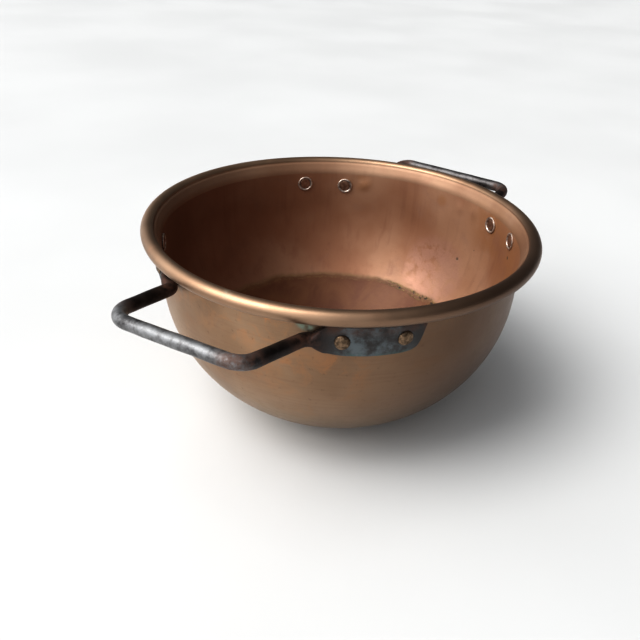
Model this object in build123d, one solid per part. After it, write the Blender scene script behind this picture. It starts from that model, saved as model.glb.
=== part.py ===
from build123d import *
import os
from math import cos, radians, sin

os.makedirs("parts", exist_ok=True)

# A copper mixing bowl with a rim rolled round an iron wire and two riveted iron handles.
# Millimetres, +Z up. The origin is the middle of the flat base, and the handles lie along X.

# ---- Driving dimensions: the bowl ----
sheet = 1.3                     # thickness of the copper
wall_radius = 142.5             # outer face of the upright wall
side_arc, side_turn = 119.0, 45.0       # radius and turn of the three arcs of the outer face
lower_arc, lower_turn = 138.0, 25.0
base_arc, base_turn = 45.0, 20.0
bead_ring_radius = 150.0        # middle of the rolled bead, from the bowl's axis
bead_height = 157.5             # the same point, above the base
bead_radius = 5.5
flare_lean = 25.0               # the wall leans out this much below the bead
flare_bend = 12.0
curl_turn = 310.0               # how far the sheet goes round the wire
wire_play = 0.05

# ---- Driving dimensions: the handles ----
rod_radius = 4.75
heel_bend = 7.0
heel_run = 5.2                  # heel's corner to the root, where the rod lies on the wall
neck_end_angle = 30.5           # where the rod is hammered down to the palm's thickness
neck_end_height = 138.5
neck_end_half_height = 8.0
palm_thickness = 3.0
palm_angle = 40.0               # middle of the palm, from the middle of the handle
palm_top = 148.0

# Azimuth of the middle between each handle's palms.
handles = {"left": 180.0, "right": -2.6}

# The rods were bent by hand, so each end has its own sizes: the grip's corner (out from the bowl's
# axis, to the side, and up) and its bend, then the root's angle from the handle, and its height.
rod_ends = {
    "left": {1: (191.5, 60.4, 150.2, 11.0, 26.6, 138.7), -1: (197.1, 46.5, 144.7, 18.0, 20.8, 139.5)},
    "right": {1: (194.4, 57.1, 147.3, 11.0, 24.0, 138.7), -1: (194.4, 58.8, 147.3, 11.0, 24.0, 138.7)},
}

# ---- Driving dimensions: the rivets and roves ----
shank_radius = 3.0
head_radius = 5.25
head_height = 2.2
dome_rise = 1.8                 # the part of that height that is domed
head_sink = 0.3                 # the head is made this much too deep, then cut to the palm
rove_radius = 7.2
rove_thickness = 1.4
seat_radius = 5.4               # mouth of the rove's countersink
tail_recess = 0.3

# Each rivet was drilled by eye: handle, end, place on the palm, angle from the handle, height.
rivets = [
    ("left", "front", "root", 33.8, 137.1),
    ("left", "front", "tip", 49.9, 138.5),
    ("left", "back", "root", -33.8, 137.6),
    ("left", "back", "tip", -49.9, 138.8),
    ("right", "front", "root", -33.9, 139.8),
    ("right", "front", "tip", -49.7, 142.0),
    ("right", "back", "root", 33.7, 137.2),
    ("right", "back", "tip", 50.0, 139.0),
]

# ---- Derived dimensions ----
palm_radius = wall_radius + palm_thickness
rove_inner_radius = wall_radius - sheet - rove_thickness
wire_radius = bead_radius - sheet - wire_play
roll_radius = bead_radius - sheet
shoulder = base_turn + lower_turn
base_radius = (
    wall_radius
    - base_arc * sin(radians(base_turn))
    - lower_arc * (sin(radians(shoulder)) - sin(radians(base_turn)))
    - side_arc * (1 - sin(radians(shoulder)))
)
roll_start_radius = bead_ring_radius - roll_radius * cos(radians(flare_lean))
roll_start_height = bead_height + roll_radius * sin(radians(flare_lean))
flare_bend_out = flare_bend * (1 - cos(radians(flare_lean)))
flare_length = (roll_start_radius - wall_radius - flare_bend_out) / sin(radians(flare_lean))
flare_start = (
    roll_start_height
    - flare_length * cos(radians(flare_lean))
    - flare_bend * sin(radians(flare_lean))
)


def sheet_line(depth):
    """One side of the sheet's section, from the axis to the curled edge: depth 0 is the outer face."""
    floor = Line((0, depth), (base_radius, depth))
    base = JernArc(floor @ 1, floor % 1, base_arc - depth, base_turn)
    lower = JernArc(base @ 1, base % 1, lower_arc - depth, lower_turn)
    side = JernArc(lower @ 1, lower % 1, side_arc - depth, side_turn)
    wall = Line(side @ 1, (wall_radius - depth, flare_start))
    bend = JernArc(wall @ 1, wall % 1, flare_bend + depth, -flare_lean)
    flare = Line(bend @ 1, bend @ 1 + (bend % 1) * flare_length)
    roll = JernArc(flare @ 1, flare % 1, roll_radius + depth, -curl_turn)
    return [floor, base, lower, side, wall, bend, flare, roll]


def make_bowl():
    """The copper sheet: flat base, three tangent arcs, upright wall, flare and rolled bead."""
    outer = sheet_line(0)
    inner = sheet_line(sheet)
    axis_end = Line(outer[0] @ 0, inner[0] @ 0)
    curled_end = Line(outer[-1] @ 1, inner[-1] @ 1)
    section = make_face(outer + inner + [axis_end, curled_end])
    return revolve(Plane.XZ * section, axis=Axis.Z)


def make_wire():
    """The iron ring that the rim is rolled round."""
    section = Pos(bead_ring_radius, bead_height) * Circle(wire_radius)
    return revolve(Plane.XZ * section, axis=Axis.Z)


def radial_plane(angle, height=0.0):
    """A plane on the bowl's axis: its X runs round the bowl, its Y up, and its Z straight out."""
    out = (cos(radians(angle)), sin(radians(angle)), 0)
    along = (-sin(radians(angle)), cos(radians(angle)), 0)
    return Plane(origin=(0, 0, height), x_dir=along, z_dir=out)


def ring(inner, outer):
    """A tube round the bowl's axis, tall enough for everything that lies on the wall."""
    tube = Cylinder(outer, 40) - Cylinder(inner, 40)
    return Pos(0, 0, palm_top - 15) * tube


def palm_outline():
    """The palm's outline, seen from outside: a full belly, a cut toe, and a waist at the root."""
    root_low = (-36.0, 131.3)
    toe_low = (33.0, 129.2)
    belly = Spline(root_low, (-20.0, 127.0), (0.0, 126.0), (20.0, 126.9), toe_low)
    toe_round = ThreePointArc(toe_low, (34.8, 131.4), (35.5, 134.5))
    toe = Line(toe_round @ 1, (38.6, palm_top))
    top = Line(toe @ 1, (-28.0, palm_top))
    root_top = Line(top @ 1, (-38.5, 143.0))
    root_end = Line(root_top @ 1, root_low)
    return make_face([belly, toe_round, toe, top, root_top, root_end])


def make_palm(root_angle, root_height):
    """The flattened end on the +Y side of a handle at azimuth 0, curved to the wall, with its neck."""
    blank = extrude(radial_plane(palm_angle) * palm_outline(), palm_radius + 10)
    palm = blank & ring(wall_radius, palm_radius)
    rod_end = radial_plane(root_angle, root_height).offset(wall_radius + rod_radius)
    flat_end = radial_plane(neck_end_angle, neck_end_height).offset(wall_radius + palm_thickness / 2)
    round_face = Plane(rod_end.origin, x_dir=rod_end.z_dir, z_dir=rod_end.x_dir) * Circle(rod_radius)
    flat_face = Plane(flat_end.origin, x_dir=flat_end.z_dir, z_dir=flat_end.x_dir) * Ellipse(
        palm_thickness / 2, neck_end_half_height
    )
    return palm + loft([round_face, flat_face])


def rod_half(side, reach, along, height, bend, root_angle, root_height):
    """The rod's corners on one side of the handle, root, heel and grip, and the last two's bends."""
    rest = wall_radius + rod_radius
    out = cos(radians(root_angle))
    across = sin(radians(root_angle))
    root = (rest * out, side * rest * across, root_height)
    heel = (root[0] + heel_run * across, root[1] - side * heel_run * out, root_height)
    return [root, heel, (reach, side * along, height)], [heel_bend, bend]


def make_handle(azimuth, ends):
    """One handle: the bent rod, and the two palms that it was hammered out to."""
    first, first_bends = rod_half(-1, *ends[-1])
    last, last_bends = rod_half(1, *ends[1])
    path = FilletPolyline(*(first + last[::-1]), radius=first_bends + last_bends[::-1])
    start = Plane(path @ 0, z_dir=path % 0)
    rod = sweep(start * Circle(rod_radius), path=path)
    palm = make_palm(*ends[1][4:])
    other_palm = mirror(make_palm(*ends[-1][4:]), Plane.XZ)
    handle = rod + palm + other_palm
    return Rot(0, 0, azimuth) * (handle - ring(wall_radius - 20, wall_radius))


def shank(length_from, length_to):
    """A round bar along the plane's Z between two distances from the bowl's axis."""
    length = length_to - length_from
    return Pos(0, 0, length_from + length / 2) * Cylinder(shank_radius, length)


def make_rivet():
    """A rivet along Z: domed head on the palm, shank, and the tail spread in the rove's seat."""
    tail_start = rove_inner_radius + tail_recess
    tail_depth = wall_radius - sheet - tail_start
    tail_radius = shank_radius + (seat_radius - shank_radius) * tail_depth / rove_thickness
    tail = Pos(0, 0, tail_start + tail_depth / 2) * Cone(tail_radius, shank_radius, tail_depth)
    foot = palm_radius - head_sink
    crown = palm_radius + head_height
    slug = Pos(0, 0, (foot + crown) / 2) * Cylinder(head_radius, crown - foot)
    ball_radius = (head_radius**2 + dome_rise**2) / (2 * dome_rise)
    head = slug & (Pos(0, 0, crown - ball_radius) * Sphere(ball_radius))
    return tail + shank(tail_start + tail_depth, palm_radius + 1), head


def make_rove():
    """The burr under the tail: a round washer with a countersunk seat."""
    disc = Pos(0, 0, wall_radius - 2) * Cylinder(rove_radius, 6)
    seat = Pos(0, 0, rove_inner_radius + rove_thickness / 2) * Cone(
        seat_radius, shank_radius, rove_thickness
    )
    mouth = Pos(0, 0, rove_inner_radius - 1) * Cylinder(seat_radius, 2)
    return disc - seat - mouth - shank(wall_radius - 3, wall_radius + 3)


# ---- Assembly ----
nodes = {"bowl_shell": make_bowl(), "rim_wire": make_wire()}
for side, azimuth in handles.items():
    nodes[side + "_handle"] = make_handle(azimuth, rod_ends[side])

palm_side = ring(wall_radius - 40, palm_radius)
rove_layer = ring(rove_inner_radius, wall_radius - sheet)
for side, end, place, angle, height in rivets:
    name = side + "_" + end + "_" + place
    plane = radial_plane(handles[side] + angle, height)
    body, head = make_rivet()
    hole = plane.location * shank(wall_radius - 10, palm_radius + 2)
    nodes["bowl_shell"] -= hole
    nodes[side + "_handle"] -= hole
    nodes["rivet_" + name] = plane.location * body + (plane.location * head - palm_side)
    nodes["rove_" + name] = (plane.location * make_rove()) & rove_layer

for name, shape in nodes.items():
    shape = shape.solid()
    shape.label = name
    export_step(shape, "parts/" + name + ".step")
    print(name, round(shape.volume, 1), "mm3")
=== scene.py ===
from math import atan2, cos, degrees, pi, radians, sin

import bpy
import numpy as np
from mathutils import Matrix, Vector, noise


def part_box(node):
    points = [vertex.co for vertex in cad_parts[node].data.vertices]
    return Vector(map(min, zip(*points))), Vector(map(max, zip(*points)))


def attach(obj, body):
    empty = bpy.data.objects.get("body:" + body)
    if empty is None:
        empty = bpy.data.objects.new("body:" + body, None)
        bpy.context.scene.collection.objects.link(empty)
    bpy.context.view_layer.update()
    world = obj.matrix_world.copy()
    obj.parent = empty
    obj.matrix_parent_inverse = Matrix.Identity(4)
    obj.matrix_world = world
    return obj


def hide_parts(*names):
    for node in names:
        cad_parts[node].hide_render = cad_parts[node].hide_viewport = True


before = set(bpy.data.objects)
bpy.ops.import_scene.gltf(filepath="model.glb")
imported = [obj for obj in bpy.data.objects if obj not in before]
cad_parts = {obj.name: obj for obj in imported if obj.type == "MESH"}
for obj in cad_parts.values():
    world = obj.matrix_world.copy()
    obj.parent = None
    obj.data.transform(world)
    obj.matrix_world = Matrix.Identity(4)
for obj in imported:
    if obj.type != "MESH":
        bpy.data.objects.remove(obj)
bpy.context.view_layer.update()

# A copper mixing bowl with a wired rim and two riveted iron handles, in metres, +Z up.
# The handles lie along X: left_handle at -X, right_handle at +X. Angles are in degrees.

# ---- Sizes read from the frame ----
bowl_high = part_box("bowl_shell")[1]
wire_low, wire_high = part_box("rim_wire")
wire_radius = (wire_high.z - wire_low.z) / 2
bead_height = (wire_high.z + wire_low.z) / 2
bead_ring = wire_high.x - wire_radius
bead_radius = bowl_high.z - bead_height
rim_height = bowl_high.z

# ---- Sizes of the bowl, as in the CAD model ----
sheet = 0.0013
wall_radius = 0.1425
wall_arcs = ((0.045, 20.0), (0.138, 25.0), (0.119, 45.0))   # radius and turn, from the base up
flare_lean = 25.0
flare_bend = 0.012
curl_turn = 310.0
crease_depth = 0.00055          # of the groove inside, where the flare turns into the bead

# The errors of a hand-raised bowl at the rim: waves round it, metres, and phase.
out_of_round = ((2, 0.00045, 0.7), (3, 0.00022, 2.0), (5, 0.00012, 0.4))
out_of_level = ((2, 0.00030, 1.9), (3, 0.00018, 0.3))

# ---- Sizes of the handles ----
rod_radius = 0.00475
heel_bend = 0.007
heel_run = 0.0052               # from the heel's corner to the root, along the wall
neck_end = 31.0                 # angle from the handle's middle where the rod is hammered flat
palm_thickness = 0.003
palm_radius = wall_radius + palm_thickness

# Azimuth of the middle between each handle's palms.
handles = {"left": 180.0, "right": -2.6}

# Each end of a rod: the grip's corner (out, to the side, up), its bend, then the root's angle and height.
rod_ends = {
    "left": {
        1: (0.1915, 0.0604, 0.1502, 0.011, 26.6, 0.1387),
        -1: (0.1971, 0.0465, 0.1447, 0.018, 20.8, 0.1395),
    },
    "right": {
        1: (0.1944, 0.0571, 0.1473, 0.011, 24.0, 0.1387),
        -1: (0.1944, 0.0588, 0.1473, 0.011, 24.0, 0.1387),
    },
}

# The lower and upper edge of a palm: angle from the middle of the handle, and height.
palm_low = (
    (24.5, 0.1322), (25.5, 0.1313), (27.9, 0.1298), (30.0, 0.1280), (33.0, 0.1267), (39.0, 0.1260),
    (46.0, 0.1266), (50.3, 0.1277), (52.4, 0.1291), (53.6, 0.1315), (54.4, 0.1358), (55.5, 0.1462),
)
palm_high = ((24.5, 0.1440), (27.0, 0.1472), (29.0, 0.1480), (35.0, 0.1480), (55.5, 0.1480))
palm_flat_to, palm_toe = 50.0, 55.5     # the same angles, where the toe's rounding starts and ends

# How far hands have worn each grip to bare steel.
grip_wear = {"left": 1.0, "right": 0.4}

# Where the heels have pushed the wall in: azimuth and height. Then a dent's reach each way, and depth.
dents = ((22.2, 0.1395), (-25.8, 0.1413), (-156.0, 0.1385), (161.0, 0.1390))
dent_wide, dent_high, dent_deep = 0.0032, 0.0046, 0.0009

# ---- Sizes of the rivets and roves ----
shank_radius = 0.003
head_radius = 0.00525
head_height = 0.0022
rove_radius = 0.0072
rove_thickness = 0.0014
seat_radius = 0.0054
inner_wall = wall_radius - sheet

# ---- The camera and the light ----
camera_spot = Vector((-0.4113, -0.2540, 0.3587))
camera_heading = 33.25          # azimuth that it looks along
camera_pitch = -31.4
camera_roll = 2.79
camera_lens = 36.36             # on a sensor 36 mm wide
window_azimuth = 149.0
window_panes = ((38.0, 0.90), (52.0, 1.00), (66.0, 1.00))   # elevation and power, one over another
window_width = 32.0             # degrees across, seen from the bowl
room_dark, room_bright = 0.14, 2.10     # the room's light away from the window, and toward it
room_rise = 0.25                # how much of the room's brighter side is overhead
floor_reach = 9.0


# ---- Small tools ----
def smooth(value, low, high):
    """0 below low, 1 above high, and a soft step between."""
    t = np.clip((np.asarray(value, float) - low) / (high - low), 0, 1)
    return t * t * (3 - 2 * t)


def through(points, at):
    """A smooth curve through a few (place, value) points, read at the places in at."""
    xs = np.array([p[0] for p in points], float)
    ys = np.array([p[1] for p in points], float)
    slopes = np.gradient(ys, xs)
    at = np.clip(np.asarray(at, float), xs[0], xs[-1])
    i = np.clip(np.searchsorted(xs, at) - 1, 0, len(xs) - 2)
    step = xs[i + 1] - xs[i]
    t = (at - xs[i]) / step
    return (
        (2 * t**3 - 3 * t**2 + 1) * ys[i]
        + (t**3 - 2 * t**2 + t) * step * slopes[i]
        + (3 * t**2 - 2 * t**3) * ys[i + 1]
        + (t**3 - t**2) * step * slopes[i + 1]
    )


def lumps(points, size, seed):
    """Soft random lumps from -1 to 1 at each point, about size metres across."""
    shift = Vector((seed * 7.31, seed * 3.17, seed * 5.53))
    return np.array([noise.noise(Vector(p) / size + shift) for p in points])


def hand_made(points):
    """Moves points by the small errors of a hand-raised bowl. Every piece is moved the same way."""
    points = np.array(points, float)
    radius = np.hypot(points[:, 0], points[:, 1])
    angle = np.arctan2(points[:, 1], points[:, 0])
    share = np.clip(points[:, 2] / rim_height, 0, 1.1)
    out = share * sum(size * np.cos(waves * angle + phase) for waves, size, phase in out_of_round)
    rise = share**2 * sum(size * np.cos(waves * angle + phase) for waves, size, phase in out_of_level)
    on_axis = radius < 1e-5
    grown = np.where(on_axis, 1.0, (radius + out) / np.maximum(radius, 1e-6))
    return np.stack([points[:, 0] * grown, points[:, 1] * grown, points[:, 2] + rise], axis=1)


def make_piece(name, points, faces, material, node):
    """A smooth-shaded mesh that stands for a CAD node."""
    mesh = bpy.data.meshes.new(name)
    mesh.from_pydata([tuple(p) for p in points], [], faces)
    mesh.validate()
    mesh.polygons.foreach_set("use_smooth", np.ones(len(mesh.polygons), bool))
    mesh.materials.append(material)
    piece = bpy.data.objects.new(name, mesh)
    bpy.context.scene.collection.objects.link(piece)
    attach(piece, "root")
    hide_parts(node)
    return piece


def store(piece, name, values):
    """Keeps one number for each point, for a material to read."""
    layer = piece.data.attributes.new(name, "FLOAT", "POINT")
    layer.data.foreach_set("value", np.array(values, np.float32))


def strip_faces(rings, count, closed_ends=True):
    """Quads between rings of count points each, with a fan over each end."""
    faces = []
    for j in range(rings - 1):
        for i in range(count):
            k = (i + 1) % count
            faces.append((j * count + i, j * count + k, (j + 1) * count + k, (j + 1) * count + i))
    if closed_ends:
        first, last = rings * count, rings * count + 1
        for i in range(count):
            k = (i + 1) % count
            faces.append((first, k, i))
            faces.append((last, (rings - 1) * count + i, (rings - 1) * count + k))
    return faces


# ---- Materials ----
class Graph:
    """One procedural material: a Principled shader and a short way to add nodes to it."""

    def __init__(self, name, **shader_values):
        self.material = bpy.data.materials.new(name)
        self.material.use_nodes = True
        self.nodes = self.material.node_tree.nodes
        self.links = self.material.node_tree.links
        self.nodes.clear()
        output = self.nodes.new("ShaderNodeOutputMaterial")
        self.shader = self.nodes.new("ShaderNodeBsdfPrincipled")
        self.links.new(self.shader.outputs["BSDF"], output.inputs["Surface"])
        for socket, value in shader_values.items():
            self.set(socket.replace("_", " "), value)
        self.place = self.add("ShaderNodeTexCoord").outputs["Object"]

    def put(self, socket, value):
        if isinstance(value, bpy.types.NodeSocket):
            self.links.new(value, socket)
        else:
            socket.default_value = value

    def set(self, name, value):
        self.put(self.shader.inputs[name], value)

    def add(self, kind, **settings):
        node = self.nodes.new(kind)
        for key, value in settings.items():
            setattr(node, key, value)
        return node

    def math(self, operation, a, b=0.0, c=0.0, clamp=False):
        node = self.add("ShaderNodeMath", operation=operation, use_clamp=clamp)
        for socket, value in zip(node.inputs, (a, b, c)):
            self.put(socket, value)
        return node.outputs[0]

    def split(self, vector):
        node = self.add("ShaderNodeSeparateXYZ")
        self.put(node.inputs[0], vector)
        return node.outputs

    def stretch(self, scale):
        """The place in the bowl, with each axis scaled: the pattern on it is drawn out."""
        node = self.add("ShaderNodeVectorMath", operation="MULTIPLY")
        self.put(node.inputs[0], self.place)
        node.inputs[1].default_value = scale
        return node.outputs[0]

    def noise(self, scale, detail=4.0, roughness=0.55, vector=None, distortion=0.0):
        node = self.add("ShaderNodeTexNoise")
        self.put(node.inputs["Vector"], self.place if vector is None else vector)
        for name, value in (
            ("Scale", scale), ("Detail", detail), ("Roughness", roughness), ("Distortion", distortion)
        ):
            node.inputs[name].default_value = value
        return node.outputs["Fac"]

    def cells(self, scale, vector=None, feature="F1"):
        node = self.add("ShaderNodeTexVoronoi", feature=feature)
        self.put(node.inputs["Vector"], self.place if vector is None else vector)
        node.inputs["Scale"].default_value = scale
        return node.outputs["Distance"]

    def step(self, value, low, high, to_low=0.0, to_high=1.0):
        """A soft step of value between low and high."""
        node = self.add("ShaderNodeMapRange", interpolation_type="SMOOTHSTEP")
        for socket, number in zip(node.inputs, (value, low, high, to_low, to_high)):
            self.put(socket, number)
        return node.outputs[0]

    def near(self, centre, reach, soft=0.6):
        """1 at a place in the bowl, falling to 0 at reach metres from it."""
        node = self.add("ShaderNodeVectorMath", operation="DISTANCE")
        self.put(node.inputs[0], self.place)
        node.inputs[1].default_value = centre
        return self.step(node.outputs["Value"], reach * (1 - soft), reach, 1.0, 0.0)

    def stroke(self, start, end, width):
        """1 on a straight scratch between two places, falling to 0 at width from it."""
        start, end = Vector(start), Vector(end)
        run = end - start
        away = self.add("ShaderNodeVectorMath", operation="SUBTRACT")
        self.put(away.inputs[0], self.place)
        away.inputs[1].default_value = start
        along = self.add("ShaderNodeVectorMath", operation="DOT_PRODUCT")
        self.put(along.inputs[0], away.outputs[0])
        along.inputs[1].default_value = run / run.length_squared
        share = self.math("MULTIPLY", along.outputs["Value"], 1.0, clamp=True)
        foot = self.add("ShaderNodeVectorMath", operation="SCALE")
        foot.inputs[0].default_value = run
        self.put(foot.inputs["Scale"], share)
        gap = self.add("ShaderNodeVectorMath", operation="DISTANCE")
        self.put(gap.inputs[0], away.outputs[0])
        self.put(gap.inputs[1], foot.outputs[0])
        return self.step(gap.outputs["Value"], width * 0.3, width, 1.0, 0.0)

    def attribute(self, name):
        return self.add("ShaderNodeAttribute", attribute_name=name).outputs["Fac"]

    def times(self, *values):
        result = values[0]
        for value in values[1:]:
            result = self.math("MULTIPLY", result, value)
        return result

    def most(self, *values):
        result = values[0]
        for value in values[1:]:
            result = self.math("MAXIMUM", result, value)
        return result

    def mix(self, amount, low, high, blend="MIX"):
        node = self.add("ShaderNodeMix", data_type="RGBA", blend_type=blend)
        for name, value in (("Factor_Float", amount), ("A_Color", low), ("B_Color", high)):
            socket = next(s for s in node.inputs if s.identifier == name)
            if isinstance(value, tuple):
                value = (*value, 1.0)
            self.put(socket, value)
        return next(s for s in node.outputs if s.identifier == "Result_Color")

    def bump(self, height, distance, normal=None, strength=1.0):
        node = self.add("ShaderNodeBump")
        node.inputs["Strength"].default_value = strength
        node.inputs["Distance"].default_value = distance
        self.put(node.inputs["Height"], height)
        if normal is not None:
            self.put(node.inputs["Normal"], normal)
        return node.outputs[0]


def on_wall(angle, height, radius=inner_wall):
    """A place on the bowl's wall."""
    return (radius * cos(radians(angle)), radius * sin(radians(angle)), height)


def copper_outside(g, z, broad, cloud, fine):
    """The outer face: tan with clouds, orange blotches under the rim, greenish low down."""
    brushed = g.noise(1.0, 4.0, 0.6, vector=g.stretch((24.0, 24.0, 420.0)))
    brown_tan, pale_tan = (0.285, 0.180, 0.108), (0.385, 0.262, 0.170)
    streak, cloud_tan, orange = (0.255, 0.142, 0.090), (0.425, 0.248, 0.135), (0.530, 0.255, 0.110)
    olive, fleck = (0.265, 0.228, 0.158), (0.110, 0.065, 0.042)

    colour = g.mix(g.step(broad, 0.35, 0.65), brown_tan, pale_tan)
    colour = g.mix(g.times(g.step(brushed, 0.45, 0.70), 0.25), colour, streak)
    colour = g.mix(g.times(g.step(cloud, 0.50, 0.75), 0.60), colour, cloud_tan)
    blotch = g.step(g.noise(70.0, 5.0, 0.65, distortion=0.8), 0.47, 0.66)
    spots = g.most(
        g.near(on_wall(-170, 0.147, wall_radius), 0.042, 0.9),
        g.near(on_wall(-146, 0.114, wall_radius), 0.028, 0.9),
        g.times(g.near(on_wall(-162, 0.110, wall_radius), 0.034, 0.9), 0.7),
        g.times(g.step(z, 0.100, 0.150), 0.35),
    )
    colour = g.mix(g.times(spots, blotch, 0.65), colour, orange)
    low = g.times(g.step(z, 0.090, 0.030), g.step(cloud, 0.35, 0.60))
    colour = g.mix(g.times(low, 0.45), colour, olive)
    return g.mix(g.times(g.step(fine, 0.60, 0.78), 0.35), colour, fleck)


def copper_wall(g, broad, cloud, highlight_patch):
    """The inner wall: pink-tan with upright streaks, painted shade in red-brown on the side away from the
    window, and paler in a painted highlight patch.
    """
    upright = g.noise(1.0, 3.0, 0.5, vector=g.stretch((130.0, 130.0, 12.0)))
    speck = g.noise(900.0, 2.0, 0.5)
    brown_pink, pale_pink = (0.330, 0.168, 0.096), (0.430, 0.258, 0.165)
    streak, cloud_pink, fleck = (0.180, 0.068, 0.040), (0.330, 0.195, 0.140), (0.120, 0.056, 0.036)
    shaded_red_brown, highlight_pink = (0.115, 0.034, 0.012), (0.430, 0.250, 0.190)

    colour = g.mix(g.step(broad, 0.35, 0.68), brown_pink, pale_pink)
    colour = g.mix(g.times(g.step(upright, 0.50, 0.75), 0.22), colour, streak)
    colour = g.mix(g.times(g.step(cloud, 0.52, 0.72), 0.30), colour, cloud_pink)
    colour = g.mix(g.times(g.step(speck, 0.66, 0.76), 0.35), colour, fleck)
    # painted shade: the inner wall on the side facing away from the window is darkened red-brown
    colour = g.mix(g.times(g.near(on_wall(95, 0.105), 0.165, 0.8), 0.65), colour, shaded_red_brown)
    # painted highlight: the patch is paled toward light pink
    return g.mix(g.times(highlight_patch, 0.55), colour, highlight_pink)


def painted_highlight(g, x, y):
    """A painted highlight of the window: a paler patch on the inner wall, cut off sharply on one side."""
    return g.times(
        g.near(on_wall(-14, 0.072, 0.130), 0.040, 0.35),
        g.step(g.math("ARCTAN2", y, x), 0.028, 0.002),
        g.step(g.noise(120.0, 4.0, 0.6), 0.30, 0.55),
    )


def rivet_stains(g):
    """Stains on the inner wall, round the rivets of the right handle."""
    stains = g.most(
        g.near(on_wall(-38, 0.137), 0.046, 0.9),
        g.near(on_wall(-56, 0.128), 0.056, 0.9),
        g.times(g.near(on_wall(24, 0.141), 0.013, 0.8), 0.8),
        g.times(g.near(on_wall(-10, 0.140), 0.008, 0.7), 0.7),
    )
    return g.times(stains, g.step(g.noise(60.0, 4.0, 0.6), 0.30, 0.55))


def tide_mark(g, z, inside, grit):
    """The line low inside the bowl: what is under it, its dull band, its crust, and the pits."""
    line_height = g.math("MULTIPLY_ADD", g.noise(30.0, 3.0, 0.6), 0.009, 0.0438)
    under = g.step(g.math("SUBTRACT", z, line_height), 0.0030, -0.0010)
    above = g.math("SUBTRACT", z, g.math("ADD", line_height, 0.0010))

    def line(drop, core, edge):
        """1 on a line this far under the mark, falling to 0 between two distances from it."""
        return g.step(g.math("ABSOLUTE", g.math("ADD", above, drop)), core, edge, 1.0, 0.0)

    heavy = g.near(on_wall(-12, 0.046, 0.116), 0.052, 0.6)
    crust = g.times(
        g.most(line(0.0, 0.0002, 0.0013), g.times(line(0.0030, 0.0002, 0.0011), 0.8)),
        g.step(grit, 0.42, 0.58),
        g.step(g.noise(130.0, 4.0, 0.7), 0.36, 0.54),
        g.math("MULTIPLY_ADD", heavy, 0.75, 0.25),
        inside,
    )
    pits = g.times(
        line(0.0012, 0.0006, 0.0028),
        g.step(g.noise(260.0, 3.0, 0.6), 0.57, 0.63),
        heavy,
        inside,
    )
    lone_pits = g.most(
        g.near(on_wall(-22.8, 0.0923, 0.1382), 0.0022, 0.7),
        g.near(on_wall(-52.8, 0.1274), 0.0022, 0.7),
        g.near(on_wall(-30.0, 0.1080, 0.1405), 0.0012, 0.7),
    )
    return under, line(0.0, 0.0006, 0.0034), crust, g.most(pits, g.times(lone_pits, 0.8))


def scratch_marks(g, grit):
    """Two thin scratches that meet on the inner wall."""
    top = on_wall(-10.0, 0.0862, 0.1372)
    return g.times(
        g.most(
            g.stroke(on_wall(-6.8, 0.0795, 0.1352), top, 0.0004),
            g.stroke(top, on_wall(-11.4, 0.0822, 0.1362), 0.0003),
        ),
        g.step(grit, 0.30, 0.50),
    )


def verdigris(g, inside):
    """One pale patch on the bead, and more where a palm's root meets the bead."""
    mottle = g.step(g.noise(240.0, 5.0, 0.7), 0.40, 0.56)
    patch = g.times(g.near(on_wall(-175, 0.1625, 0.153), 0.006, 0.8), mottle, 0.35)
    roots = g.most(
        g.near(on_wall(-155.5, 0.1478, 0.1435), 0.0085, 0.5),
        g.near(on_wall(158, 0.1478, 0.1435), 0.0070, 0.5),
        g.near(on_wall(22, 0.1478, 0.1435), 0.0070, 0.5),
        g.near(on_wall(-27, 0.1478, 0.1435), 0.0070, 0.5),
    )
    outer_face = g.math("SUBTRACT", 1.0, inside)
    return g.most(patch, g.times(roots, g.math("MULTIPLY_ADD", mottle, 0.6, 0.4), outer_face))


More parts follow.
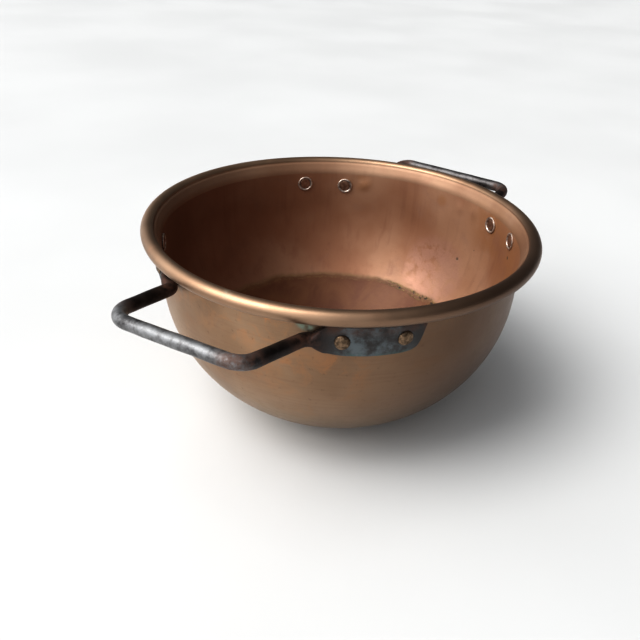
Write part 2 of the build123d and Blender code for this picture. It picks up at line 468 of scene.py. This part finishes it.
def copper_material():
    """Aged copper: tan and brown outside, pink inside, and redder under the tide mark, with painted shade
    on the side away from the window and a painted highlight patch inside.
    """
    g = Graph("aged_copper", Coat_Weight=0.25, Coat_Roughness=0.40)
    x, y, z = g.split(g.place)
    inside = g.attribute("inner_face")
    bead = g.attribute("bead")
    broad = g.noise(14.0, 3.0, 0.5)
    cloud = g.noise(38.0, 5.0, 0.6, distortion=0.6)
    fine = g.noise(260.0, 4.0, 0.6)
    grit = g.noise(520.0, 5.0, 0.75)
    # a painted highlight patch on the inner wall, which is also made smoother and dimpled there
    highlight_patch = painted_highlight(g, x, y)
    under, band, crust, pits = tide_mark(g, z, inside, grit)
    green = verdigris(g, inside)

    # painted shade: a brown darkening over the outer face and the rim, strongest on the side away from the
    # window
    away_side_shade = g.times(g.near(on_wall(-95, 0.110, wall_radius), 0.190, 0.85), 0.85)
    outside = g.mix(away_side_shade, copper_outside(g, z, broad, cloud, fine), (0.120, 0.070, 0.044))
    rim = g.mix(g.step(broad, 0.35, 0.65), (0.280, 0.180, 0.115), (0.385, 0.258, 0.172))
    rim = g.mix(g.times(g.step(cloud, 0.50, 0.72), 0.5), rim, (0.400, 0.235, 0.150))
    rim = g.mix(away_side_shade, rim, (0.120, 0.070, 0.046))

    floor = g.mix(g.step(cloud, 0.35, 0.65), (0.122, 0.044, 0.018), (0.160, 0.068, 0.028))
    inner = g.mix(under, copper_wall(g, broad, cloud, highlight_patch), floor)
    for amount, share, tint in (
        (rivet_stains(g), 0.80, (0.370, 0.185, 0.085)),
        (band, 0.35, (0.190, 0.120, 0.060)),
        (crust, 0.90, (0.330, 0.230, 0.085)),
        (pits, 1.00, (0.030, 0.026, 0.014)),
        (scratch_marks(g, grit), 0.80, (0.700, 0.560, 0.470)),
    ):
        inner = g.mix(g.times(amount, share), inner, tint)

    colour = g.mix(bead, g.mix(inside, outside, inner), rim)
    g.set("Base Color", g.mix(green, colour, (0.400, 0.470, 0.380)))

    # bare metal outside, and duller inside, where it scatters more light
    dull = g.most(green, crust, pits)
    shine = g.math("MULTIPLY_ADD", inside, -0.43, 0.93)
    g.set("Metallic", g.math("MULTIPLY_ADD", dull, -0.6, shine, clamp=True))
    rough = g.math("MULTIPLY_ADD", cloud, 0.18, 0.30)
    rough = g.math("MULTIPLY_ADD", inside, 0.14, rough)
    rough = g.math("MULTIPLY_ADD", fine, 0.10, rough)
    rough = g.math("MULTIPLY_ADD", g.times(highlight_patch, inside), -0.10, rough)
    g.set("Roughness", g.math("MULTIPLY_ADD", dull, 0.35, rough, clamp=True))

    # hammer marks, broad waves, dimples, grain, and the crust and pits of the tide mark
    normal = g.bump(g.cells(52.0, feature="SMOOTH_F1"), 0.0006, strength=0.35)
    normal = g.bump(g.noise(30.0, 2.0, 0.5), 0.0010, normal, 0.35)
    dimples = g.times(g.noise(330.0, 2.0, 0.5), g.math("MULTIPLY_ADD", highlight_patch, 0.8, 0.2))
    normal = g.bump(dimples, 0.00025, normal, 0.5)
    normal = g.bump(g.noise(700.0, 3.0, 0.6), 0.00006, normal, 0.5)
    g.set("Normal", g.bump(g.math("SUBTRACT", crust, pits), 0.00035, normal, 0.8))
    return g.material


def iron_material():
    """Forged iron: black scale worn to grey steel on the grip, brown rust, and blue-grey palms."""
    g = Graph("forged_iron")
    z = g.split(g.place)[2]
    patches = g.noise(90.0, 5.0, 0.65)
    fine = g.noise(500.0, 4.0, 0.6)
    palm = g.attribute("palm")
    black, scale, steel = (0.018, 0.013, 0.012), (0.044, 0.034, 0.032), (0.280, 0.280, 0.283)
    palm_grey, palm_blue = (0.100, 0.097, 0.095), (0.170, 0.195, 0.206)
    rust_brown, edge_green = (0.120, 0.056, 0.036), (0.095, 0.150, 0.140)

    colour = g.mix(g.step(patches, 0.35, 0.65), black, scale)
    wear = g.times(g.attribute("grip"), g.step(g.math("MULTIPLY_ADD", fine, 0.30, patches), 0.30, 0.85))
    colour = g.mix(wear, colour, steel)
    colour = g.mix(g.times(palm, 0.5), colour, palm_grey)
    blue = g.times(palm, g.attribute("palm_middle"), g.step(g.noise(85.0, 5.0, 0.65), 0.36, 0.66))
    colour = g.mix(g.times(blue, 0.85), colour, palm_blue)
    top_edge = g.times(palm, g.step(z, 0.1395, 0.1475))
    rusty = g.step(g.noise(110.0, 5.0, 0.7), 0.34, 0.62)
    rust = g.times(g.most(g.attribute("corner"), top_edge), rusty)
    colour = g.mix(g.times(rust, 0.80), colour, rust_brown)
    edge = g.times(palm, g.step(z, 0.1310, 0.1262), g.step(g.noise(200.0, 4.0, 0.6), 0.42, 0.60))
    g.set("Base Color", g.mix(g.times(edge, 0.7), colour, edge_green))

    dull = g.most(rust, edge)
    g.set("Metallic", g.math("MULTIPLY_ADD", dull, -0.50, 0.80, clamp=True))
    rough = g.math("MULTIPLY_ADD", patches, 0.20, 0.33)
    g.set("Roughness", g.math("MULTIPLY_ADD", dull, 0.30, rough, clamp=True))
    normal = g.bump(g.noise(75.0, 3.0, 0.55), 0.0007, strength=0.4)
    g.set("Normal", g.bump(g.noise(420.0, 5.0, 0.65), 0.00014, normal, 0.6))
    return g.material


def rivet_material():
    """Dull tan copper heads and pinker tails, dark in the hollows."""
    g = Graph("rivet_copper", Metallic=0.8)
    x, y = g.split(g.place)[:2]
    radius = g.math("SQRT", g.math("ADD", g.math("MULTIPLY", x, x), g.math("MULTIPLY", y, y)))
    patches = g.noise(330.0, 4.0, 0.6)
    head = g.mix(g.step(patches, 0.38, 0.62), (0.095, 0.064, 0.040), (0.260, 0.180, 0.116))
    tail = g.mix(g.step(patches, 0.38, 0.62), (0.230, 0.130, 0.085), (0.380, 0.240, 0.170))
    colour = g.mix(g.step(radius, palm_radius - 0.001, inner_wall + 0.001), head, tail)
    hollows = g.step(g.noise(900.0, 3.0, 0.6), 0.56, 0.70)
    colour = g.mix(g.times(hollows, 0.6), colour, (0.045, 0.032, 0.024))
    g.set("Base Color", colour)
    g.set("Roughness", g.math("MULTIPLY_ADD", patches, 0.22, 0.28))
    normal = g.bump(g.noise(420.0, 3.0, 0.55), 0.00020, strength=0.6)
    g.set("Normal", normal)
    return g.material


def rove_material():
    """Copper rubbed bright on the lip."""
    g = Graph("rove_copper", Metallic=0.8)
    patches = g.noise(420.0, 4.0, 0.6)
    colour = g.mix(g.step(patches, 0.35, 0.60), (0.300, 0.220, 0.180), (0.640, 0.560, 0.500))
    g.set("Base Color", colour)
    g.set("Roughness", g.math("MULTIPLY_ADD", patches, 0.20, 0.28))
    normal = g.bump(g.noise(600.0, 3.0, 0.55), 0.00012, strength=0.6)
    g.set("Normal", normal)
    return g.material


def wire_material():
    """Black iron wire, seen only in the slit under the bead."""
    g = Graph("black_wire", Metallic=0.8)
    patches = g.noise(300.0, 4.0, 0.6)
    g.set("Base Color", g.mix(g.step(patches, 0.4, 0.65), (0.030, 0.026, 0.024), (0.110, 0.052, 0.030)))
    g.set("Roughness", g.math("MULTIPLY_ADD", patches, 0.3, 0.4))
    g.set("Normal", g.bump(g.noise(700.0, 3.0, 0.6), 0.0001, strength=0.5))
    return g.material


def floor_material():
    """A plain pale table, with a faint mottle."""
    g = Graph("pale_floor", Specular_IOR_Level=0.3)
    cloud = g.noise(2.5, 3.0, 0.5)
    g.set("Base Color", g.mix(g.step(cloud, 0.3, 0.7), (0.640, 0.640, 0.638), (0.665, 0.665, 0.663)))
    g.set("Roughness", g.math("MULTIPLY_ADD", cloud, 0.15, 0.45))
    return g.material


# ---- The bowl ----
def sheet_path():
    """The middle of the sheet, from the axis to the curled edge: (radius, height, heading, part)."""
    base_radius = wall_radius
    heading = 0.0
    for arc, turn in wall_arcs:
        base_radius -= arc * (sin(radians(heading + turn)) - sin(radians(heading)))
        heading += turn
    roll = bead_radius - sheet
    lean = radians(flare_lean)
    flare_start_radius = wall_radius + flare_bend * (1 - cos(lean))
    flare_length = (bead_ring - roll * cos(lean) - flare_start_radius) / sin(lean)
    flare_start = bead_height + roll * sin(lean) - flare_length * cos(lean) - flare_bend * sin(lean)

    points = [(0.0, sheet / 2, 0.0, "floor")]

    def line(length, steps, part):
        r, z, turn, _ = points[-1]
        for i in range(1, steps + 1):
            reach = length * i / steps
            points.append((r + reach * cos(turn), z + reach * sin(turn), turn, part))

    def arc(radius, degrees_turned, steps, part):
        r, z, start, _ = points[-1]
        side = 1 if degrees_turned > 0 else -1
        for i in range(1, steps + 1):
            turn = start + radians(degrees_turned) * i / steps
            points.append((
                r + side * radius * (sin(turn) - sin(start)),
                z - side * radius * (cos(turn) - cos(start)),
                turn,
                part,
            ))

    line(base_radius, 12, "floor")
    for (radius, turn), steps in zip(wall_arcs, (10, 16, 26)):
        arc(radius - sheet / 2, turn, steps, "wall")
    line(flare_start - points[-1][1], 10, "wall")
    arc(flare_bend + sheet / 2, -flare_lean, 8, "flare")
    line(flare_length, 10, "flare")
    arc(bead_radius - sheet / 2, -curl_turn, 44, "bead")
    return points


def dent_push(points):
    """How far the sheet is pushed inward at the heels of the handles."""
    push = np.zeros(len(points))
    for azimuth, height in dents:
        spot = np.array(on_wall(azimuth, height, wall_radius))
        away = points - spot
        along = np.array([-spot[1], spot[0], 0.0]) / wall_radius
        across = (away @ along) / dent_wide
        up = away[:, 2] / dent_high
        push += dent_deep * np.exp(-(across**2 + up**2))
    return push


def make_bowl(material):
    """The copper sheet as one closed skin, outer face, curled edge and inner face."""
    count = 320
    path = sheet_path()
    bead_start = next(i for i, p in enumerate(path) if p[3] == "bead")
    outer, inner = [], []
    for i, (r, z, turn, part) in enumerate(path):
        left = (-sin(turn), cos(turn))
        crease = crease_depth * np.exp(-(((i - bead_start + 1.5) / 1.6) ** 2))
        outer.append((r - left[0] * sheet / 2, z - left[1] * sheet / 2, part))
        inner.append((r + left[0] * (sheet / 2 - crease), z + left[1] * (sheet / 2 - crease), part))
    loop = [(*p, 0) for p in outer[1:]] + [(*p, 1) for p in inner[:0:-1]]
    angles = np.arange(count) * 2 * pi / count
    points = []
    inside, bead = [], []
    for r, z, part, face in loop:
        points.extend(np.stack([r * np.cos(angles), r * np.sin(angles), np.full(count, z)], axis=1))
        rolled = {"bead": 1.0, "flare": 0.55}.get(part, 0.0)
        inside.extend([0.0 if part == "bead" else float(face)] * count)
        bead.extend([rolled] * count)
    points.append(np.array([0.0, 0.0, outer[0][1]]))
    points.append(np.array([0.0, 0.0, inner[0][1]]))
    inside += [0.0, 1.0]
    bead += [0.0, 0.0]
    points = np.array(points)
    radius = np.maximum(np.hypot(points[:, 0], points[:, 1]), 1e-6)
    shrink = 1 - dent_push(points) / radius
    points[:, 0] *= shrink
    points[:, 1] *= shrink
    piece = make_piece(
        "copper_bowl", hand_made(points), strip_faces(len(loop), count), material, "bowl_shell"
    )
    store(piece, "inner_face", inside)
    store(piece, "bead", bead)


def make_wire(material):
    """The iron ring inside the bead."""
    count, sides = 240, 20
    points = []
    for i in range(count):
        a = 2 * pi * i / count
        for k in range(sides):
            t = 2 * pi * k / sides
            r = bead_ring + wire_radius * cos(t)
            points.append((r * cos(a), r * sin(a), bead_height + wire_radius * sin(t)))
    faces = []
    for i in range(count):
        for k in range(sides):
            j, n = (i + 1) % count, (k + 1) % sides
            faces.append((i * sides + k, j * sides + k, j * sides + n, i * sides + n))
    make_piece("iron_rim_wire", hand_made(points), faces, material, "rim_wire")


# ---- The handles ----
def rounded(points, bends, step):
    """Places along straight runs joined by arcs, about step apart."""
    points = [Vector(p) for p in points]
    places = [points[0]]

    def run_to(end):
        start = places[-1]
        steps = max(1, round((end - start).length / step))
        places.extend(start.lerp(end, i / steps) for i in range(1, steps + 1))

    for i, bend in enumerate(bends, 1):
        before = (points[i - 1] - points[i]).normalized()
        after = (points[i + 1] - points[i]).normalized()
        half = before.angle(after) / 2
        run_to(points[i] + before * bend / np.tan(half))
        centre = points[i] + (before + after).normalized() * bend / sin(half)
        first = places[-1] - centre
        last = points[i] + after * bend / np.tan(half) - centre
        turn = first.angle(last)
        axis = first.cross(last).normalized()
        steps = 12
        for k in range(1, steps + 1):
            places.append(centre + Matrix.Rotation(turn * k / steps, 3, axis) @ first)
    run_to(points[-1])
    return places


def rod_half(side, reach, along, height, bend, root_angle, root_height):
    """The rod's corners on one side of the handle, root, heel and grip, and the last two's bends."""
    rest = wall_radius + rod_radius
    out, across = cos(radians(root_angle)), sin(radians(root_angle))
    root = (rest * out, side * rest * across, root_height)
    heel = (root[0] + heel_run * across, root[1] - side * heel_run * out, root_height)
    return [root, heel, (reach, side * along, height)], [heel_bend, bend]


def palm_sections(side, root_angle, root_height):
    """Sections of one palm from root to toe: middle, heading, half thickness, half height, flatness."""
    sections = []
    body = np.linspace(root_angle, palm_flat_to, 38)[1:]
    toe = np.linspace(palm_flat_to, palm_toe, 20)[1:]
    for place in np.concatenate([body, toe]):
        low, high = float(through(palm_low, place)), float(through(palm_high, place))
        flat = float(smooth(place, root_angle, neck_end))
        grown = float(smooth(place, max(root_angle - 1.0, 22.0), 29.5))
        half_thick = rod_radius + (palm_thickness / 2 - rod_radius) * flat
        half_high = rod_radius + ((high - low) / 2 - rod_radius) * grown
        height = root_height + ((high + low) / 2 - root_height) * grown
        reach = wall_radius + half_thick
        a = radians(place) * side
        heading = Vector((-sin(a), cos(a), 0.0))
        middle = Vector((reach * cos(a), reach * sin(a), height))
        sections.append((middle, heading, half_thick, half_high, flat))
    return sections


def handle_sections(name):
    """Sections of a whole handle, from the toe of one palm to the toe of the other."""
    ends = rod_ends[name]
    first, first_bends = rod_half(-1, *ends[-1])
    last, last_bends = rod_half(1, *ends[1])
    places = rounded(first + last[::-1], first_bends + last_bends[::-1], 0.003)
    sections = palm_sections(-1, *ends[-1][4:])[::-1]
    for i, place in enumerate(places):
        heading = (places[min(i + 1, len(places) - 1)] - places[max(i - 1, 0)]).normalized()
        sections.append((place, heading, rod_radius, rod_radius, 0.0))
    return sections + palm_sections(1, *ends[1][4:])


def section_marks(name, middle, flat):
    """How far a section of a handle is worn grip, palm, rusty corner or root, and middle of the palm."""
    reach, side = middle.x, abs(middle.y)
    angle = degrees(atan2(side, reach))
    corner = smooth(side, 0.040, 0.052) * smooth(reach, 0.170, 0.186)
    root = smooth(reach, 0.158, 0.146) * (1 - flat)
    return {
        "grip": smooth(reach, 0.178, 0.192) * grip_wear[name],
        "palm": flat,
        "corner": max(corner, root),
        "palm_middle": smooth(angle, 28, 37) * smooth(angle, 55, 46),
    }


def hammered(points, middles, seed):
    """Swells and thins the free part of a handle a little, away from the wall."""
    free = smooth(np.hypot(points[:, 0], points[:, 1]), wall_radius + 0.0002, wall_radius + 0.0022)
    swell = lumps(points, 0.016, seed) * 0.00022 + lumps(points, 0.006, 9) * 0.00008
    away = points - middles
    away /= np.maximum(np.linalg.norm(away, axis=1), 1e-9)[:, None]
    return points + away * (swell * free)[:, None]


def make_handle(name, material):
    """One forged handle: a round rod that flattens into a palm at each end."""
    sides = 40
    sections = handle_sections(name)
    points = []
    for middle, heading, half_thick, half_high, flat in sections:
        square = 2 + 3.5 * flat         # 2 is a round section, and more is squarer
        up = (Vector((0, 0, 1)) - heading * heading.z).normalized()
        out = up.cross(heading)
        for k in range(sides):
            t = 2 * pi * k / sides
            c, s = cos(t), sin(t)
            across = abs(c) ** (2 / square) * (1 if c >= 0 else -1) * half_thick
            rise = abs(s) ** (2 / square) * (1 if s >= 0 else -1) * half_high
            points.append(middle + out * across + up * rise)

    turn = Matrix.Rotation(radians(handles[name]), 3, "Z")
    middles = np.array([turn @ section[0] for section in sections])
    points = np.array([turn @ point for point in points])
    points = hammered(points, np.repeat(middles, sides, axis=0), 3 + len(name))
    piece = make_piece(
        name + "_forged_handle",
        hand_made(np.vstack([points, middles[:1], middles[-1:]])),
        strip_faces(len(sections), sides),
        material,
        name + "_handle",
    )
    marks = [section_marks(name, section[0], section[4]) for section in sections]
    for label, at_toes in (("grip", 0.0), ("palm", 1.0), ("corner", 0.0), ("palm_middle", 0.0)):
        values = np.repeat([mark[label] for mark in marks], sides)
        store(piece, label, np.append(values, [at_toes, at_toes]))


# ---- The rivets and roves ----
def wrap(points, azimuth, height):
    """Bends local points round the bowl: X runs along the wall, Y up, and Z is out from the axis."""
    angle = radians(azimuth) + points[:, 0] / points[:, 2]
    return np.stack([
        points[:, 2] * np.cos(angle), points[:, 2] * np.sin(angle), height + points[:, 1]
    ], axis=1)


def turned(profile, sides, uneven, seed):
    """Points of a profile of (radius, Z) turned about Z, a little out of round."""
    points = []
    for r, z in profile:
        for k in range(sides):
            t = 2 * pi * k / sides
            wide = r * (1 + uneven * cos(2 * t + seed) + 0.6 * uneven * cos(3 * t + 2 * seed))
            points.append((wide * cos(t), wide * sin(t), z))
    return points


def rivet_place(node):
    """Azimuth and height of a rivet or rove, from its CAD box."""
    low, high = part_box(node)
    middle = (low + high) / 2
    return atan2(middle.y, middle.x) * 180 / pi, middle.z


def make_rivet(label, seed, material):
    """Hammered head, shank, and the tail spread in the rove."""
    sides = 48
    azimuth, height = rivet_place("rivet_" + label)
    tail = inner_wall - rove_thickness + 0.0004

    # the spread tail, the shank, the foot of the head, then its dome
    profile = [(0.0012, tail + 0.00005), (0.0030, tail), (0.0044, tail + 0.00002), (0.0049, tail + 0.0001)]
    profile += [(0.0048, tail + 0.0003), (shank_radius, inner_wall), (shank_radius, palm_radius - 0.0002)]
    profile += [(head_radius * 0.97, palm_radius + 0.00002), (head_radius, palm_radius + 0.0003)]
    for i in range(1, 13):
        t = i / 12 * pi / 2
        r = head_radius * cos(t) ** 0.9
        profile.append((max(r, 0.0003), palm_radius + 0.0003 + (head_height - 0.0003) * sin(t) ** 1.15))
    points = np.array(turned(profile, sides, 0.018, seed))
    points = np.vstack([points, [[0, 0, tail + 0.00005], [0, 0, palm_radius + head_height]]])
    crown = smooth(points[:, 2], palm_radius + 0.0004, palm_radius + head_height)
    lean = Vector((cos(seed * 2.4), sin(seed * 2.4)))
    points[:, 2] += crown * (points[:, 0] * lean.x + points[:, 1] * lean.y) * 0.10
    points[:, 2] += crown * lumps(points, 0.0035, seed) * 0.0003
    make_piece(
        "copper_rivet_" + label,
        hand_made(wrap(points, azimuth, height)),
        strip_faces(len(profile), sides),
        material,
        "rivet_" + label,
    )


def make_rove(label, seed, material):
    """A countersunk burr with a rounded lip."""
    sides = 56
    azimuth, height = rivet_place("rove_" + label)

    # the face on the wall, the rounded lip, then the countersunk seat
    profile = [(shank_radius, inner_wall), (rove_radius - 0.0002, inner_wall)]
    lip_middle = (rove_radius + seat_radius) / 2
    lip_half = (rove_radius - seat_radius) / 2
    for i in range(11):
        t = pi * i / 10
        profile.append((
            lip_middle + lip_half * cos(t),
            inner_wall - rove_thickness + 0.0006 - 0.0006 * sin(t),
        ))
    profile.append((0.0049, inner_wall - rove_thickness + 0.0009))
    profile.reverse()
    points = np.array(turned(profile, sides, 0.012, seed + 0.5))
    faces = strip_faces(len(profile), sides, closed_ends=False)
    last = (len(profile) - 1) * sides
    for i in range(sides):
        k = (i + 1) % sides
        faces.append((last + i, last + k, k, i))
    raised = smooth(points[:, 2], inner_wall - 0.0006, inner_wall - rove_thickness)
    points[:, 2] -= raised * lumps(points, 0.004, seed + 20) * 0.00015
    make_piece(
        "copper_rove_" + label,
        hand_made(wrap(points, azimuth, height)),
        faces,
        material,
        "rove_" + label,
    )


# ---- Floor, light and camera ----
def make_floor():
    """A plain pale floor."""
    sides = 96
    angles = [2 * pi * k / sides for k in range(sides)]
    mesh = bpy.data.meshes.new("floor")
    corners = [(floor_reach * cos(a), floor_reach * sin(a), 0.0) for a in angles]
    mesh.from_pydata(corners, [], [tuple(range(sides))])
    mesh.materials.append(floor_material())
    floor = bpy.data.objects.new("floor", mesh)
    bpy.context.scene.collection.objects.link(floor)


def make_window():
    """A soft window, as one sun for each pane."""
    a = radians(window_azimuth)
    for elevation, power in window_panes:
        e = radians(elevation)
        light = bpy.data.lights.new("window", "SUN")
        light.angle = radians(window_width)
        light.energy = power
        light.color = (1.0, 0.99, 0.97)
        window = bpy.data.objects.new("window", light)
        toward = Vector((cos(a) * cos(e), sin(a) * cos(e), sin(e)))
        window.location = toward * 2
        window.rotation_euler = (-toward).to_track_quat("-Z", "Y").to_euler()
        bpy.context.scene.collection.objects.link(window)


def make_room():
    """The room's own light, bright on the window's side and dim on the other."""
    a = radians(window_azimuth)
    world = bpy.data.worlds.new("room")
    world.use_nodes = True
    nodes, links = world.node_tree.nodes, world.node_tree.links
    background = nodes["Background"]
    where = nodes.new("ShaderNodeTexCoord")
    dot = nodes.new("ShaderNodeVectorMath")
    dot.operation = "DOT_PRODUCT"
    links.new(where.outputs["Generated"], dot.inputs[0])
    dot.inputs[1].default_value = (cos(a), sin(a), room_rise)
    ramp = nodes.new("ShaderNodeMapRange")
    links.new(dot.outputs["Value"], ramp.inputs["Value"])
    ramp.interpolation_type = "SMOOTHSTEP"
    for name, value in (
        ("From Min", -0.2), ("From Max", 1.0), ("To Min", room_dark), ("To Max", room_bright)
    ):
        ramp.inputs[name].default_value = value
    links.new(ramp.outputs["Result"], background.inputs["Strength"])
    background.inputs["Color"].default_value = (0.96, 0.98, 1.0, 1.0)
    bpy.context.scene.world = world
    bpy.context.scene.view_settings.view_transform = "Standard"
    bpy.context.scene.view_settings.gamma = 0.74


def make_camera():
    """The camera, tipped down at the bowl and a little rolled."""
    heading, pitch, roll = radians(camera_heading), radians(camera_pitch), radians(camera_roll)
    forward = Vector((cos(heading) * cos(pitch), sin(heading) * cos(pitch), sin(pitch)))
    level = Vector((sin(heading), -cos(heading), 0.0))
    above = level.cross(forward)
    right = level * cos(roll) + above * sin(roll)
    up = above * cos(roll) - level * sin(roll)
    data = bpy.data.cameras.new("camera")
    data.sensor_width = 36.0
    data.lens = camera_lens
    camera = bpy.data.objects.new("camera", data)
    axes = Matrix((right, up, -forward)).transposed().to_4x4()
    camera.matrix_world = Matrix.Translation(camera_spot) @ axes
    bpy.context.scene.collection.objects.link(camera)
    bpy.context.scene.camera = camera


make_camera()
make_floor()
make_window()
make_room()
iron = iron_material()
make_bowl(copper_material())
make_wire(wire_material())
for side_name in handles:
    make_handle(side_name, iron)
rivet_copper = rivet_material()
rove_copper = rove_material()
labels = sorted(n[len("rivet_"):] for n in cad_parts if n.startswith("rivet_"))
for number, rivet_label in enumerate(labels):
    make_rivet(rivet_label, number + 1, rivet_copper)
    make_rove(rivet_label, number + 1, rove_copper)
